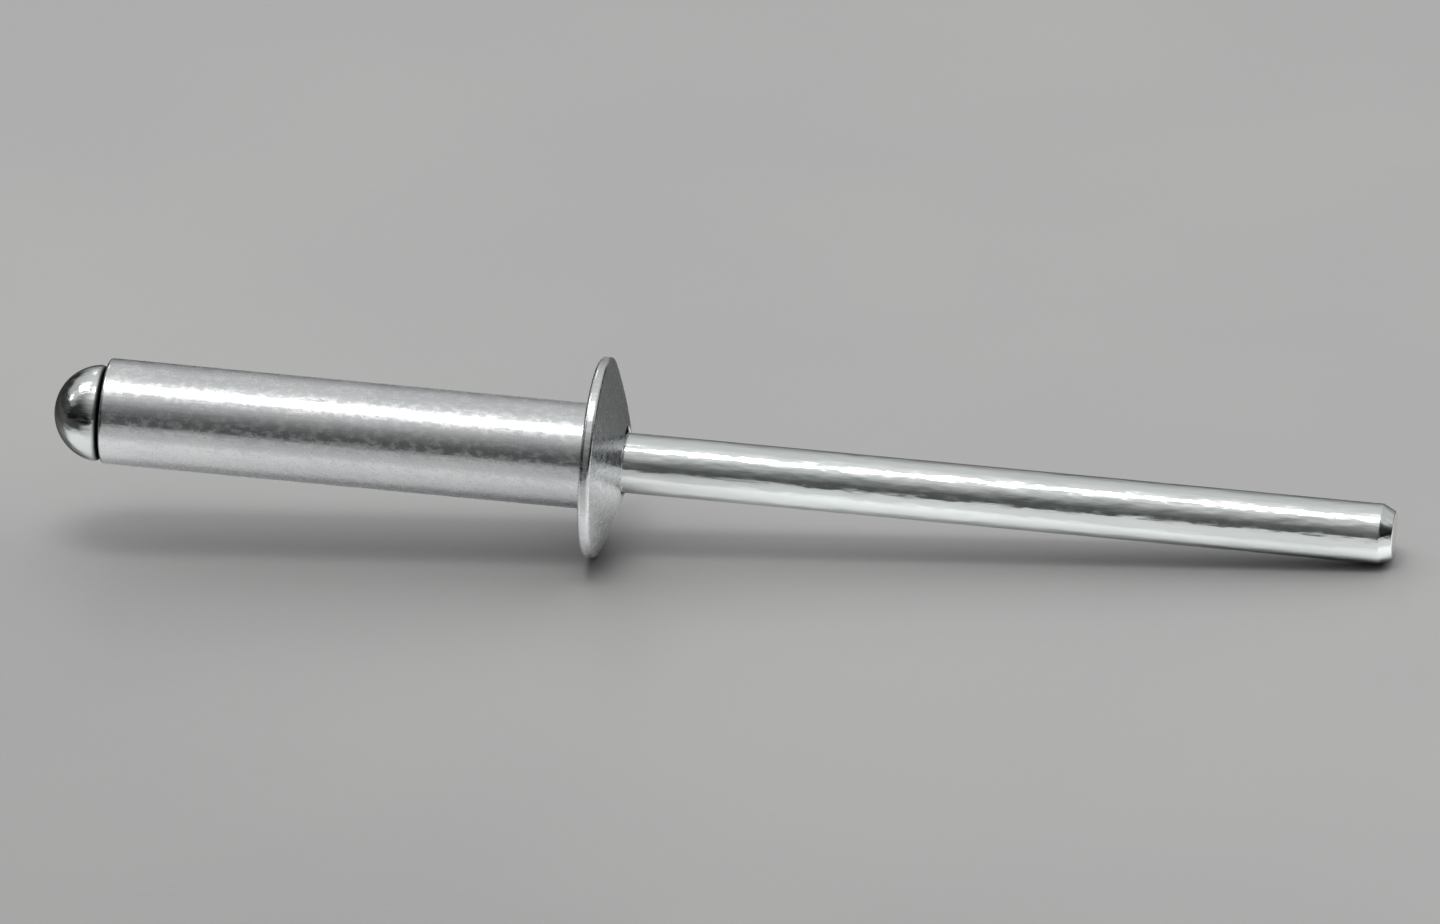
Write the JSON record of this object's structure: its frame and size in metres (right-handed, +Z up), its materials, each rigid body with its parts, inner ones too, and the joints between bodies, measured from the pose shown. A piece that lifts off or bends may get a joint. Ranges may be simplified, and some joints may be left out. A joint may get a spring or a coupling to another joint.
{
  "type": "pop rivet",
  "caption": "Blind rivet: a tubular body with a low domed flange on a headed pull mandrel, lying at rest on its flange rim and mandrel tip.",
  "frame": {"origin": "middle of the footprint, on the surface that the rivet lies on", "axes": "+X from the mandrel head towards the mandrel tip, +Z up; the rivet's own axis lies in the XZ plane and falls by 4.91 degrees towards +X"},
  "size_m": [0.0506, 0.0076, 0.0076],
  "materials": {
    "aluminium": "satin, drawn and lightly tumbled, with fine marks along the shank",
    "plated_steel": "bright zinc-plated wire, smooth, with a faint waviness"
  },
  "bodies": {
    "root": {"rivet_body": "aluminium", "mandrel": "plated_steel"}
  },
  "joints": []
}
